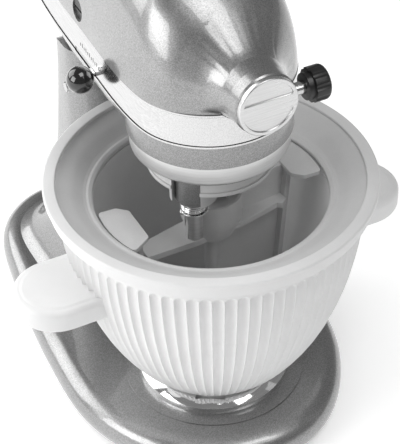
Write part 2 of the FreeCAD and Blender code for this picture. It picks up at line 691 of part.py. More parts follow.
# ---- controls -----------------------------------------------------------------------
def hub_cap():
    plate = cyl(CAP_R, CAP_T, (0, HUB_FACE_Y - 0.1 - CAP_T, HUB_Z), Y)
    front = HUB_FACE_Y - 0.1 - CAP_T
    plate = fillet(plate, 0.8, lambda e: abs(e.CenterOfMass.y - front) < 0.01 and len(e.Vertexes) == 1)
    dish = cyl(CAP_R - 2.6, 1.0, (0, front, HUB_Z), Y)
    dish = dish.cut(box(-30, 30, front - 1, front + 5, HUB_Z - 4.6, HUB_Z + 4.6))
    spigot = tube(SOCKET_R - CLEAR, SOCKET_R - 3, 6, (0, HUB_FACE_Y - 0.1, HUB_Z), Y)
    return plate.cut(dish).fuse(spigot)


def attachment_knob():
    head = cyl(KNOB_R, KNOB_LENGTH, (KNOB_X + 3.5, KNOB_Y, KNOB_Z), X)
    head = fillet(head, 3, lambda e: e.CenterOfMass.x > KNOB_X + KNOB_LENGTH + 3.4)
    for i in range(9):
        y, z = polar(KNOB_R + 1.6, 40 * i, KNOB_Y, KNOB_Z)
        head = head.cut(cyl(2.6, 40, (KNOB_X, y, z), X))
    collar = cyl(KNOB_R - 2.6, 5, (KNOB_X, KNOB_Y, KNOB_Z), X)
    return head.fuse(collar).cut(cyl(KNOB_SHANK_R, 10, (KNOB_X - 1, KNOB_Y, KNOB_Z), X))


def knob_shank():
    return cyl(KNOB_SHANK_R, KNOB_X + 9 - 16.3, (16.3, KNOB_Y, KNOB_Z), X)


def lever_rod():
    reach = BALL_AT - LEVER_BEND
    return Part.makeCylinder(2.2, reach.Length, LEVER_BEND, reach)


def speed_lever():
    bar = box(LEVER_BEND.x - 3, -44, SLOT_Y0 + 0.4, SLOT_Y0 + 6.4, LEVER_Z - 1.3, LEVER_Z + 1.3)
    return bar.fuse(lever_rod())


def speed_ball():
    return Part.makeSphere(BALL_R, BALL_AT).cut(lever_rod())


def lock_lever():
    stem = box(28, 48, 137.4, 143, 206.5, 211.5)
    knob = fillet(cyl(6, 9, (46.5, 140.2, 209), X), 1.5, lambda e: e.CenterOfMass.x > 55)
    return stem.fuse(knob)


# ---- frozen bowl --------------------------------------------------------------------
def side_curve(points):
    curve = Part.BSplineCurve()
    curve.interpolate([V(r, 0, z) for r, z in points])
    return curve.toShape()


def chain(points):
    corners = [V(r, 0, z) for r, z in points]
    return [Part.LineSegment(a, b).toShape() for a, b in zip(corners, corners[1:])]


def handle():
    centre = HANDLE_TIP - HANDLE_HALF
    low = HANDLE_TOP - HANDLE_T
    slab = cyl(HANDLE_HALF, HANDLE_T, (centre, 0, low)).fuse(
        box(70, centre, -HANDLE_HALF, HANDLE_HALF, low, HANDLE_TOP)).removeSplitter()
    rim = [e for e in slab.Edges if e.CenterOfMass.x > 72 and
           (abs(e.CenterOfMass.z - HANDLE_TOP) < 0.01 or abs(e.CenterOfMass.z - low) < 0.01)]
    return slab.makeFillet(3.5, rim)


def bowl_outer_shell():
    outer = [(BOWL_FOOT_R, BOWL_LOW), (62, 56), (78.5, 84), (91, 118), (98, 153), (100.5, RIM_LOW)]
    inner = [(r - 3.2, z) for r, z in outer]
    inner[0] = (BOWL_FOOT_R - 3, BOWL_LOW + 3)
    rim = chain([outer[-1], (BAND_R, RIM_LOW), (RIM_R, RIM_TOP - 1.2), (RIM_R - 1.2, RIM_TOP),
                 (RIM_R - 8.0, RIM_TOP), (RIM_R - 8.4, RIM_TOP - 2), (RIM_R - 8.4, RIM_LOW), inner[-1]])
    bottom = chain([inner[0], (8, BOWL_LOW + 3), (8, BOWL_LOW), outer[0]])
    wire = Part.Wire(Part.__sortEdges__([side_curve(outer)] + rim + [side_curve(inner)] + bottom))
    shell = Part.Face(wire).revolve(V(0, 0, 0), Z, 360)
    core_wire = Part.Wire(Part.__sortEdges__([side_curve(inner)] + chain(
        [inner[-1], (RIM_R - 9, RIM_LOW), (RIM_R - 9, 220), (0, 220), (0, BOWL_LOW + 3), inner[0]])))
    core = Part.Face(core_wire).revolve(V(0, 0, 0), Z, 360)
    grip = handle().cut(core)
    return join([shell, grip, mirrored_x(grip)])


def bowl_top_ring():
    """Shallow slope from the rim down to the mouth."""
    slope = [(RIM_R - 8.4, RIM_TOP - 2.4), (MOUTH_R + 2.5, MOUTH_Z + 0.9), (MOUTH_R + 0.6, MOUTH_Z + 0.5),
             (MOUTH_R, MOUTH_Z - 0.4), (MOUTH_R, MOUTH_Z - 2.4), (MOUTH_R + 4, MOUTH_Z - 2.2),
             (RIM_R - 8.4, RIM_TOP - 5.4)]
    return revolve(slope)


def liner_profile(grow):
    top = MOUTH_Z - 2.4
    return [(0, CHILL_FLOOR - grow), (FLOOR_R - 14, CHILL_FLOOR - grow), (FLOOR_R - 4 + grow, CHILL_FLOOR + 4),
            (FLOOR_R + grow, CHILL_FLOOR + 14), (FLOOR_R + 9.5 + grow, 94), (MOUTH_R - 4.8 + grow, 136),
            (MOUTH_R - 0.2 + grow, top), (0, top)]


def bowl_inner_liner():
    wall = revolve(liner_profile(1.6)).cut(revolve(liner_profile(0)))
    return wall.cut(cyl(3, 1.2, (0, 0, CHILL_FLOOR - 1.2)))


def bowl_coolant():
    """Frozen gel sealed between the liner and the outer shell."""
    rows = [(44.5, 43), (53, 50), (59, 59), (72, 86), (84, 118), (91, 150), (91, 168)]
    solid = revolve([(0, 43)] + rows + [(0, 168)])
    return solid.cut(revolve(liner_profile(2.0)))


def bowl_foot():
    """Ring under the bowl whose three lugs lock under the clamp plate's lip."""
    low = PLATE_LO + 3.1
    ring = tube(LOCK_LIP_R - 0.4, 36, BOWL_LOW - low, (0, 0, low))
    lugs = tube(LOCK_R, 40, 2.4, (0, 0, low + 0.4))
    keep = [spun(box(0, 60, -LOCK_HALF, LOCK_HALF, 20, 60), 90 + 120 * i) for i in range(3)]
    return join([ring] + [lugs.common(k) for k in keep])


# ---- dasher -------------------------------------------------------------------------
def rib_radius(z):
    return 57.0 - 0.092 * (178.0 - z)


def dasher():
    low = CHILL_FLOOR + 6
    cup = tube(CUP_R, CUP_R - 2.2, 18, (0, 0, CUP_TOP - 18)).fuse(cyl(CUP_R - 1, 3, (0, 0, CUP_TOP - 6)))
    cup = cup.fuse(cyl(CUP_R, 2.5, (0, 0, CUP_TOP - 18)))
    post = cyl(4.8, CUP_TOP - 18 - CHILL_FLOOR - 0.6, (0, 0, CHILL_FLOOR + 0.6))
    arm = prism_z([(-53, -7), (-18, -11), (18, -11), (47, -7.5), (50, -10), (55, -7), (55, 7), (18, 11),
                   (-18, 11), (-53, 7)], ARM_Z, ARM_Z + 4.5)
    collar = cone(15, CUP_R, CUP_TOP - 18 - ARM_Z, (0, 0, ARM_Z))
    blade = face_of([(0, 0, low), (rib_radius(low), 0, low), (rib_radius(177), 0, 177), (50, 0, 177),
                     (30, 0, 172), (19, 0, 168), (0, 0, 165)]).extrude(V(0, 3, 0))
    bar = face_of([(0, 0, low), (-rib_radius(low), 0, low), (-rib_radius(low + 14), 0, low + 14),
                   (0, 0, low + 14)]).extrude(V(0, 3, 0))
    pieces = [cup, post, arm, collar, blade, bar]
    for side in (1, -1):
        r0, r1 = side * rib_radius(low), side * rib_radius(177)
        rib = face_of([(r0, -5, low), (r1, -5, 177), (r1 + side * 3.5, -5, 177),
                       (r0 + side * 3.5, -5, low)]).extrude(V(0, 10, 0))
        pieces.append(rib)
    for turn in (0, 180):
        wing = cyl(WING_R, 3, (0, 0, 176)).common(
            prism_z([(54, -13), (60, -20), (90, -25), (90, 32), (57, 16)], 175, 180))
        wing = fillet(wing, 2.5, lambda e: abs(e.tangentAt(e.FirstParameter).z) > 0.9)
        pieces.append(spun(wing, turn))
    return spun(join(pieces), DASHER_ANGLE)


# ---- write every node ---------------------------------------------------------------
NODES = [
    base_casting, pedestal_column, pedestal_bolts, rubber_feet, foot_screws, hinge_pin, hinge_set_screw,
    head_height_screw, bowl_clamp_plate, clamp_plate_screws,
    upper_housing, attachment_hub, lower_housing, trim_band, rear_cover, rear_cover_screw, housing_screws,
    internal_ring_gear, motor_stator, brush_holders, carbon_brushes, brush_caps, bearing_brackets,
    rotor_bearings, centre_bushings, worm_bracket, speed_plate, cord_gland, hub_bushing,
    motor_shaft, armature_core, commutator, cooling_fan, worm_wheel, worm_pinion_shaft,
    hub_drive_shaft, hub_bevel_gear,
    centre_shaft, centre_gear, planetary_carrier, planetary_pin, planetary_ring, drive_clip,
    beater_shaft, beater_cross_pin, planet_pinion, beater_spring, beater_washers,
    hub_cap, attachment_knob, knob_shank, speed_lever, speed_ball, lock_lever,
    bowl_outer_shell, bowl_top_ring, bowl_inner_liner, bowl_coolant, bowl_foot, dasher,
]

for make in NODES:
    shape = make()
    shape.translate(V(0, SHIFT_Y, 0))
    shape.exportStep("parts/" + make.__name__ + ".step")
    print(make.__name__, len(shape.Solids), round(shape.Volume), shape.isValid())
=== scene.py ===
import json
import math

import bmesh
import bpy
from mathutils import Matrix, Vector
from mathutils.bvhtree import BVHTree


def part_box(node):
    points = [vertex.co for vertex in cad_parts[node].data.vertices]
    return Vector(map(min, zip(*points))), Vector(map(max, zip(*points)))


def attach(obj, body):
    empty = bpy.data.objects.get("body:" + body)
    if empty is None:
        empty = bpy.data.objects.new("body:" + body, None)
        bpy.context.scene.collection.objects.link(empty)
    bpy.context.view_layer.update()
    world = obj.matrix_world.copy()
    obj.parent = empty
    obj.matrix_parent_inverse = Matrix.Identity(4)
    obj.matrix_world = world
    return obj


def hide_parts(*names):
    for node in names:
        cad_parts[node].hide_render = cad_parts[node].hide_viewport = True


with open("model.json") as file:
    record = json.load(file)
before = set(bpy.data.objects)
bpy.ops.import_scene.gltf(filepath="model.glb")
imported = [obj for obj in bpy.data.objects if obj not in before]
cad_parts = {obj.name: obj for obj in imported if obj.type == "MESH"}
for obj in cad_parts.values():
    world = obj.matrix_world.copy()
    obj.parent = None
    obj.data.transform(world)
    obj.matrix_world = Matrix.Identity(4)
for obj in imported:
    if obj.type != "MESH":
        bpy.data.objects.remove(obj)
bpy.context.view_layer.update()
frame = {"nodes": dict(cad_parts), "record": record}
NODES = frame["nodes"]
SLOT_OF = {part["node"]: part["material_slot"] for part in frame["record"]["subparts"]}
BODY_OF = {
    node: body
    for body, members in frame["record"]["behaviour"]["bodies"].items()
    for node in members
}
MM = 0.001          # shapes are given in millimetres and built in metres

SHELL_LO, SHELL_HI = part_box("bowl_outer_shell")
AXIS_Y = (SHELL_LO.y + SHELL_HI.y) / 2          # the bowl's axis stands at X = 0, Y = AXIS_Y
RIM_R = (SHELL_HI.y - SHELL_LO.y) / 2
RIM_TOP = SHELL_HI.z
BOWL_LOW = SHELL_LO.z
HANDLE_TIP = SHELL_HI.x


# ---- camera -------------------------------------------------------------------------
CAMERA_AZIMUTH, CAMERA_ELEVATION, CAMERA_ROLL = (math.radians(d) for d in (-26.36, 40.1, -1.08))
CAMERA_PLACE = Vector((-0.3927, AXIS_Y - 0.7826, 0.8802))
CAMERA_LENS = 140.54
CAMERA_SHIFT = (-0.0113, 0.0279)


def make_camera():
    data = bpy.data.cameras.new("camera")
    data.lens = CAMERA_LENS
    data.shift_x, data.shift_y = CAMERA_SHIFT
    camera = bpy.data.objects.new("camera", data)
    bpy.context.scene.collection.objects.link(camera)
    ca, sa = math.cos(CAMERA_AZIMUTH), math.sin(CAMERA_AZIMUTH)
    ce, se = math.cos(CAMERA_ELEVATION), math.sin(CAMERA_ELEVATION)
    level = Vector((ca, sa, 0))
    back = Vector((sa * ce, -ca * ce, se))
    up = back.cross(level)
    cr, sr = math.cos(CAMERA_ROLL), math.sin(CAMERA_ROLL)
    columns = (level * cr + up * sr, up * cr - level * sr, back)
    turn = Matrix([[c[i] for c in columns] for i in range(3)])
    camera.matrix_world = Matrix.Translation(CAMERA_PLACE) @ turn.to_4x4()
    bpy.context.scene.camera = camera


make_camera()


# ---- mesh helpers -------------------------------------------------------------------
WELD = 1e-6             # metres
SOFT_WELD = 2e-6        # metres, for the CAD meshes
FLAT_WITHIN = 1.0       # degrees between faces that count as one
BEVEL_FROM = 32         # degrees at an edge that gets rounded
BEVEL_SEGMENTS = 3
SOFT_SMOOTH = 28        # degrees
CORNER_STEPS = 5
STRAIGHT = 89           # degrees: half of a corner too open to round


def finish_piece(name, mesh, body, slot, replaced=()):
    """Link a mesh as a piece of a body, with its material and the CAD nodes it stands for."""
    piece = bpy.data.objects.new(name, mesh)
    bpy.context.scene.collection.objects.link(piece)
    piece.data.materials.append(MATERIALS[slot])
    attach(piece, body)
    if replaced:
        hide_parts(*replaced)
    return piece


def smooth(mesh, degrees):
    """Smooth shading, with edges sharper than the angle kept hard."""
    mesh.shade_smooth()
    mesh.set_sharp_from_angle(angle=math.radians(degrees))


def mesh_of(name, points, faces, degrees):
    mesh = bpy.data.meshes.new(name)
    mesh.from_pydata(points, [], faces)
    shape = bmesh.new()
    shape.from_mesh(mesh)
    bmesh.ops.remove_doubles(shape, verts=shape.verts, dist=WELD)
    bmesh.ops.recalc_face_normals(shape, faces=shape.faces)
    shape.to_mesh(mesh)
    shape.free()
    smooth(mesh, degrees)
    return mesh


def corner_arc(before, corner, after, radius):
    """Points of a round corner between two straight runs."""
    a = (Vector(before) - Vector(corner)).normalized()
    b = (Vector(after) - Vector(corner)).normalized()
    half = a.angle(b) / 2
    if radius == 0 or half > math.radians(STRAIGHT):
        return [tuple(corner)]
    reach = radius / math.tan(half)
    middle = Vector(corner) + (a + b).normalized() * radius / math.sin(half)
    start = Vector(corner) + a * reach - middle
    end = Vector(corner) + b * reach - middle
    points = []
    for i in range(CORNER_STEPS + 1):
        way = start.lerp(end, i / CORNER_STEPS).normalized() * radius
        points.append(tuple(middle + way))
    return points


def rounded(outline):
    """A closed (radius, z, corner radius) outline in millimetres, with its corners rounded."""
    points = []
    count = len(outline)
    for i, (r, z, fillet) in enumerate(outline):
        before, after = outline[i - 1][:2], outline[(i + 1) % count][:2]
        points += corner_arc(before, (r, z), after, fillet)
    return points


def curve_through(points, steps):
    """Catmull-Rom curve through (radius, z) points."""
    first = tuple(2 * a - b for a, b in zip(points[0], points[1]))
    last = tuple(2 * a - b for a, b in zip(points[-1], points[-2]))
    row = [first] + list(points) + [last]
    out = []
    for i in range(1, len(row) - 2):
        p0, p1, p2, p3 = (Vector(p) for p in row[i - 1:i + 3])
        for s in range(steps):
            t = s / steps
            out.append(tuple(0.5 * (
                2 * p1 + (p2 - p0) * t + (2 * p0 - 5 * p1 + 4 * p2 - p3) * t * t
                + (3 * p1 - p0 - 3 * p2 + p3) * t ** 3)))
    return out + [tuple(points[-1])]


def lathe(name, outline, segments, degrees, dent=None):
    """Turn a closed (r, z) outline in millimetres about the bowl's axis.

    dent(r, z, turn) is how far the surface is set in at a point."""
    points, faces = [], []
    rows = len(outline)
    for k in range(segments):
        turn = 2 * math.pi * k / segments
        for r, z in outline:
            radius = r - (dent(r, z, turn) if dent else 0)
            x, y = radius * MM * math.cos(turn), radius * MM * math.sin(turn)
            points.append((x, AXIS_Y + y, z * MM))
    for k in range(segments):
        here, there = k * rows, (k + 1) % segments * rows
        for i in range(rows):
            j = (i + 1) % rows
            faces.append((here + i, there + i, there + j, here + j))
    return mesh_of(name, points, faces, degrees)


def apply_modifiers(piece):
    bpy.context.view_layer.update()
    graph = bpy.context.evaluated_depsgraph_get()
    done = bpy.data.meshes.new_from_object(piece.evaluated_get(graph))
    piece.modifiers.clear()
    old = piece.data
    piece.data = done
    bpy.data.meshes.remove(old)


def soften(node, width):
    """Stand in for a CAD node with a copy whose sharp edges are rounded off by width millimetres."""
    name = node + "_soft"
    mesh = NODES[node].data.copy()
    mesh.name = name
    shape = bmesh.new()
    shape.from_mesh(mesh)
    bmesh.ops.remove_doubles(shape, verts=shape.verts, dist=SOFT_WELD)
    bmesh.ops.dissolve_limit(
        shape, angle_limit=math.radians(FLAT_WITHIN), verts=shape.verts, edges=shape.edges)
    shape.to_mesh(mesh)
    shape.free()
    mesh.materials.clear()
    piece = finish_piece(name, mesh, BODY_OF[node], SLOT_OF[node], (node,))
    bevel = piece.modifiers.new("bevel", "BEVEL")
    bevel.width = width * MM
    bevel.segments = BEVEL_SEGMENTS
    bevel.limit_method = "ANGLE"
    bevel.angle_limit = math.radians(BEVEL_FROM)
    bevel.use_clamp_overlap = True
    apply_modifiers(piece)
    smooth(piece.data, SOFT_SMOOTH)


# ---- materials ----------------------------------------------------------------------
class Finish:
    """A principled material with object coordinates and short calls for its detail."""

    def __init__(self, slot, **values):
        self.material = bpy.data.materials.new(slot)
        self.material.use_nodes = True
        self.tree = self.material.node_tree
        self.shader = self.tree.nodes["Principled BSDF"]
        for key, value in values.items():
            self.shader.inputs[key.replace("_", " ")].default_value = value
        self.where = self.tree.nodes.new("ShaderNodeTexCoord").outputs["Object"]

    def stretched(self, x, y, z):
        node = self.tree.nodes.new("ShaderNodeMapping")
        node.inputs["Scale"].default_value = (x, y, z)
        self.tree.links.new(self.where, node.inputs["Vector"])
        return node.outputs["Vector"]

    def noise(self, scale, detail=2.0, rough=0.5, vector=None):
        node = self.tree.nodes.new("ShaderNodeTexNoise")
        node.inputs["Scale"].default_value = scale
        node.inputs["Detail"].default_value = detail
        node.inputs["Roughness"].default_value = rough
        self.tree.links.new(vector or self.where, node.inputs["Vector"])
        return node.outputs["Fac"]

    def cells(self, scale):
        node = self.tree.nodes.new("ShaderNodeTexVoronoi")
        node.inputs["Scale"].default_value = scale
        self.tree.links.new(self.where, node.inputs["Vector"])
        parts = self.tree.nodes.new("ShaderNodeSeparateColor")
        self.tree.links.new(node.outputs["Color"], parts.inputs["Color"])
        return parts.outputs["Red"]

    def line_at(self, height, half):
        """1 within half of a height above the frame's floor, 0 elsewhere."""
        parts = self.tree.nodes.new("ShaderNodeSeparateXYZ")
        self.tree.links.new(self.where, parts.inputs["Vector"])
        node = self.tree.nodes.new("ShaderNodeMath")
        node.operation = "COMPARE"
        node.inputs[1].default_value = height
        node.inputs[2].default_value = half
        self.tree.links.new(parts.outputs["Z"], node.inputs[0])
        return node.outputs["Value"]

    def spread(self, value, low, high, start=0.0, end=1.0):
        """Map start..end of a value to low..high."""
        node = self.tree.nodes.new("ShaderNodeMapRange")
        ends = (("From Min", start), ("From Max", end), ("To Min", low), ("To Max", high))
        for key, number in ends:
            node.inputs[key].default_value = number
        self.tree.links.new(value, node.inputs["Value"])
        return node.outputs["Result"]

    def blend(self, first, second, share):
        node = self.tree.nodes.new("ShaderNodeMix")
        node.data_type = "FLOAT"
        node.inputs["Factor"].default_value = share
        self.tree.links.new(first, node.inputs[2])
        self.tree.links.new(second, node.inputs[3])
        return node.outputs[0]

    def paired(self, operation, first, second):
        node = self.tree.nodes.new("ShaderNodeMath")
        node.operation = operation
        self.tree.links.new(first, node.inputs[0])
        self.tree.links.new(second, node.inputs[1])
        return node.outputs["Value"]

    def colour(self, value, dark, light):
        """Base colour from dark to light; returns the mix node."""
        node = self.tree.nodes.new("ShaderNodeMix")
        node.data_type = "RGBA"
        node.inputs[6].default_value = (*dark, 1)
        node.inputs[7].default_value = (*light, 1)
        self.tree.links.new(value, node.inputs["Factor"])
        self.tree.links.new(node.outputs[2], self.shader.inputs["Base Color"])
        return node

    def roughness(self, value, low, high):
        self.tree.links.new(self.spread(value, low, high, 0.3, 0.7), self.shader.inputs["Roughness"])

    def bump(self, value, strength, depth):
        node = self.tree.nodes.new("ShaderNodeBump")
        node.inputs["Strength"].default_value = strength
        node.inputs["Distance"].default_value = depth
        self.tree.links.new(value, node.inputs["Height"])
        self.tree.links.new(node.outputs["Normal"], self.shader.inputs["Normal"])


def grey(value):
    return (value, value, value)


def flake_paint(slot, dark, light, rough, metallic=0.85, coat=1.0):
    """Metallic paint: fine flakes under a clear coat."""
    f = Finish(slot, Metallic=metallic, Coat_Weight=coat, Coat_Roughness=0.05)
    flake = f.blend(f.cells(2400), f.noise(1500, 2), 0.5)
    f.colour(f.spread(flake, 0, 1, 0.2, 0.8), grey(dark), grey(light))
    f.roughness(f.noise(60, 3), rough - 0.03, rough + 0.05)
    f.bump(flake, 0.07, 0.00004)
    return f.material


def metal(slot, dark, light, rough, grain, depth=0.00002):
    """Bare metal with a grain: scale factors along X, Y and Z."""
    f = Finish(slot, Metallic=1.0)
    lines = f.noise(1.0, 3, 0.6, f.stretched(*grain))
    f.colour(f.spread(lines, 0, 1, 0.3, 0.7), grey(dark), grey(light))
    f.roughness(f.blend(lines, f.noise(45, 3), 0.5), rough * 0.75, rough * 1.35)
    f.bump(lines, 0.25, depth)
    return f.material


def edged_trim(slot, dark, light):
    """Polished trim with a dark painted shade line inside each raised edge of the band, standing in
    for the shadow in a groove.
    """
    edge, half_shade_line, shade_line_strength = 1.5 * MM, 0.24 * MM, 4
    f = Finish(slot, Metallic=1.0)
    lines = f.noise(1.0, 3, 0.6, f.stretched(1400, 25, 1400))
    lo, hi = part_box("trim_band")
    # painted shade: a dark line in the trim's colour near each edge, where the shadow in a groove
    # would fall
    painted_groove_shade = f.paired("MAXIMUM", *(f.line_at(z, half_shade_line) for z in (lo.z + edge, hi.z - edge)))
    bright = f.spread(lines, 0, 1, 0.3, 0.7)
    shade = f.paired("SUBTRACT", bright, f.spread(painted_groove_shade, 0, shade_line_strength))
    # the painted groove shade runs below the dark end, so the result is clamped and the factor isn't
    mix = f.colour(shade, grey(dark), grey(light))
    mix.clamp_factor = False
    mix.clamp_result = True
    f.roughness(f.blend(lines, f.noise(45, 3), 0.5), 0.12, 0.2)
    f.bump(lines, 0.25, 0.00001)
    return f.material


def plastic(slot, dark, light, rough, grain, depth, coat=0.0):
    """Moulded plastic, rubber or gel: a faint mottle and a fine grain."""
    f = Finish(slot, IOR=1.48, Coat_Weight=coat, Coat_Roughness=0.04)
    mottle = f.blend(f.noise(35, 4, 0.6), f.noise(grain, 2), 0.35)
    f.colour(f.spread(mottle, 0, 1, 0.3, 0.7), grey(dark), grey(light))
    f.roughness(f.noise(120, 3), rough * 0.85, rough * 1.15)
    f.bump(f.noise(grain, 3), 0.22, depth)
    return f.material


def brass(slot):
    f = Finish(slot, Metallic=1.0)
    lines = f.noise(1.0, 3, 0.6, f.stretched(900, 900, 900))
    f.colour(lines, (0.48, 0.33, 0.13), (0.74, 0.56, 0.27))
    f.roughness(f.noise(80, 3), 0.22, 0.38)
    f.bump(lines, 0.2, 0.00003)
    return f.material


# slot, how it is made, then the dark and light greys, the roughness, the grain and its depth
FINISHES = [
    ("body_paint", flake_paint, 0.21, 0.39, 0.36),
    ("carrier_grey", flake_paint, 0.22, 0.34, 0.42, 0.8, 0.3),
    ("zinc_steel", metal, 0.45, 0.62, 0.34, (700, 700, 700)),
    ("shaft_steel", metal, 0.52, 0.70, 0.24, (160, 160, 2600)),
    ("polished_chrome", metal, 0.78, 0.90, 0.07, (60, 60, 900), 0.000006),
    ("trim_metal", edged_trim, 0.56, 0.72),
    ("gear_steel", metal, 0.30, 0.48, 0.36, (500, 500, 500)),
    ("lamination_steel", metal, 0.16, 0.34, 0.48, (60, 2400, 60)),
    ("cast_aluminium", metal, 0.40, 0.56, 0.52, (420, 420, 420), 0.0001),
    ("satin_aluminium", metal, 0.66, 0.78, 0.36, (30, 30, 3200), 0.00002),
    ("cap_metal", metal, 0.60, 0.72, 0.30, (30, 1600, 1600), 0.00001),
    ("liner_metal", plastic, 0.74, 0.82, 0.36, 1500, 0.00004),
    ("brass_fittings", brass),
    ("foot_rubber", plastic, 0.02, 0.045, 0.72, 900, 0.0001),
    ("carbon", plastic, 0.012, 0.03, 0.62, 1600, 0.0001),
    ("black_plastic", plastic, 0.012, 0.024, 0.34, 1500, 0.00005),
    ("black_gloss", plastic, 0.006, 0.011, 0.12, 300, 0.000006, 1.0),
    ("grey_plastic", plastic, 0.56, 0.64, 0.38, 1400, 0.00004),
    ("white_plastic", plastic, 0.75, 0.80, 0.46, 1600, 0.00004),
    ("rim_plastic", plastic, 0.60, 0.68, 0.44, 1600, 0.00004),
    ("coolant_gel", plastic, 0.55, 0.70, 0.35, 200, 0.0002),
]
MATERIALS = {slot: make(slot, *values) for slot, make, *values in FINISHES}


def dress_cad():
    for node, piece in NODES.items():
        material = MATERIALS[SLOT_OF[node]]
        if not piece.data.materials:
            piece.data.materials.append(material)
        for holder in piece.material_slots:
            holder.material = material


dress_cad()


# ---- frozen bowl --------------------------------------------------------------------
FLUTES, FLUTE_DEPTH, FLUTE_SHARE = 80, 2.6, 0.95
FLUTE_TOP, FLUTE_FOOT = 174.9, 40.5
FULL_FLUTE = 3.4                # half width of a flute that has the whole depth
FLUTE_ROUNDNESS = 0.55
FINE_ABOVE = 160                # height above which the rows are close enough for the arches
BODY_CURVE = [(46, 38), (62, 56), (78.5, 84), (91, 118), (98, 153), (100.5, 182.1)]
RIM_FLAT = 8.4                  # width of the rim's flat top
WALL = 3.2
FOOT_OUTER, FOOT_MIDDLE, FOOT_INNER = 45, 43, 8


def flute(r, z, turn):
    """Depth of the concave flute at a point of the bowl's outside."""
    pitch = 2 * math.pi / FLUTES
    across = ((turn / pitch) % 1 - 0.5) * 2 / FLUTE_SHARE
    half = r * pitch / 2 * FLUTE_SHARE
    over = max(0, z - (FLUTE_TOP - half)) / half
    under = max(0, FLUTE_FOOT + half - z) / half
    away = across ** 2 + over ** 2 + under ** 2
    return FLUTE_DEPTH * min(1, half / FULL_FLUTE) * max(0, 1 - away) ** FLUTE_ROUNDNESS


def make_bowl_body():
    body = curve_through(BODY_CURVE, 9)
    rows = [body[0]]
    for a, b in zip(body, body[1:]):
        steps = 4 if b[1] > FINE_ABOVE else 1
        rows += [(a[0] + (b[0] - a[0]) * k / steps, a[1] + (b[1] - a[1]) * k / steps)
                 for k in range(1, steps + 1)]
    low = BOWL_LOW / MM
    rim, top = RIM_R / MM, RIM_TOP / MM
    # the rim's band set back under its lip, the flat top and the step inside it
    # (its first point is the body's own top, given as a neighbour and then dropped)
    edge = rounded([
        (100.3, 182.1, 0), (rim - 2.5, 182.1, 0.8), (rim - 1.7, top - 3.6, 0.5),
        (rim, top - 3.0, 0.9), (rim, top, 1.4), (rim - RIM_FLAT, top, 0.9),
        (rim - RIM_FLAT, top - 8, 0), (97, 176, 0)])[1:]
    inner = [(r - WALL, z) for r, z in reversed(BODY_CURVE[1:-1])]
    floor = [(FOOT_MIDDLE, low + 3), (FOOT_INNER, low + 3), (FOOT_INNER, low), (FOOT_OUTER, low)]
    outside = set(rows)

    def dent(r, z, turn):
        return flute(r, z, turn) if (r, z) in outside else 0

    mesh = lathe("bowl_body", rows + edge + inner + floor, FLUTES * 10, 55, dent)
    finish_piece("bowl_body", mesh, "bowl", "white_plastic", ("bowl_outer_shell",))


HANDLE_HALF, HANDLE_TOP, HANDLE_THICK = 28.0, 145.0, 17.0
HANDLE_ROOT = 86.0              # inside the bowl's wall
HANDLE_WAIST = 0.6              # share of the straight run with a row of its own
UNDER_FILLET, UPPER_FILLET = 3.5, 4.2
FILLET_STEPS, TIP_STEPS = 6, 28
FIELD = [(5.2, 0.6), (6.0, 0.1), (7.2, 0), (18, 0)]         # (inset, depth) up to the raised field
FIELD_RISE = 0.7


def handle_levels():
    """(inset, z) of each row, from the underside up to the middle of the top."""
    low = HANDLE_TOP - HANDLE_THICK
    quarter = [math.pi / 2 * i / FILLET_STEPS for i in range(FILLET_STEPS + 1)]
    levels = [(9.0, low)]
    levels += [(UNDER_FILLET * (1 - math.sin(a)), low + UNDER_FILLET * (1 - math.cos(a)))
               for a in quarter]
    levels += [(UPPER_FILLET * (1 - math.cos(a)),
                HANDLE_TOP - FIELD_RISE - UPPER_FILLET * (1 - math.sin(a))) for a in quarter]
    return levels + [(inset, HANDLE_TOP - depth) for inset, depth in FIELD]


def make_handle(side, name):
    """A flat D-shaped grip with rounded edges and a faint raised field on top."""
    centre = HANDLE_TIP / MM - HANDLE_HALF
    waist = HANDLE_ROOT + (centre - HANDLE_ROOT) * HANDLE_WAIST
    levels = handle_levels()
    points, faces = [], []
    for inset, z in levels:
        half = HANDLE_HALF - inset
        ring = [(HANDLE_ROOT, -half), (waist, -half)]
        for k in range(TIP_STEPS + 1):
            turn = math.pi * k / TIP_STEPS
            ring.append((centre + half * math.sin(turn), -half * math.cos(turn)))
        ring += [(waist, half), (HANDLE_ROOT, half)]
        points += [(side * x * MM, AXIS_Y + y * MM, z * MM) for x, y in ring]
    width = TIP_STEPS + 5
    for i in range(len(levels) - 1):
        for k in range(width):
            j = (k + 1) % width
            faces.append((i * width + k, i * width + j, (i + 1) * width + j, (i + 1) * width + k))
    faces.append(tuple(range(width)))
    last = (len(levels) - 1) * width
    faces.append(tuple(last + k for k in reversed(range(width))))
    finish_piece(name, mesh_of(name, points, faces, 35), "bowl", "white_plastic")


def make_top_ring():
    """The slope from the rim down to the mouth, with a raised lip round the mouth."""
    rim = RIM_R / MM - RIM_FLAT
    top = RIM_TOP / MM
    slope = rounded([
        (rim + 0.3, top - 2.2, 0.3), (90, 186.9, 30), (82.8, 182.3, 3), (80.8, 181.5, 1.2),
        (79.2, 181.6, 1.2), (76.7, 180.4, 1.4), (76.6, 177.6, 0.6), (80, 177.8, 0.5),
        (rim + 0.3, top - 5.4, 0.3)])
    mesh = lathe("bowl_slope", slope, 224, 50)
    finish_piece("bowl_slope", mesh, "bowl", "rim_plastic", ("bowl_top_ring",))


LINER_WALL, LINER_FLOOR = 1.5, 1.6
LINER_DROP = 1.3                # how far the floor's underside lies below its top
LINER_MIDDLE = 0.4              # radius of the pinhole at the centre
KNUCKLE = 15                    # height above the floor where the wall begins


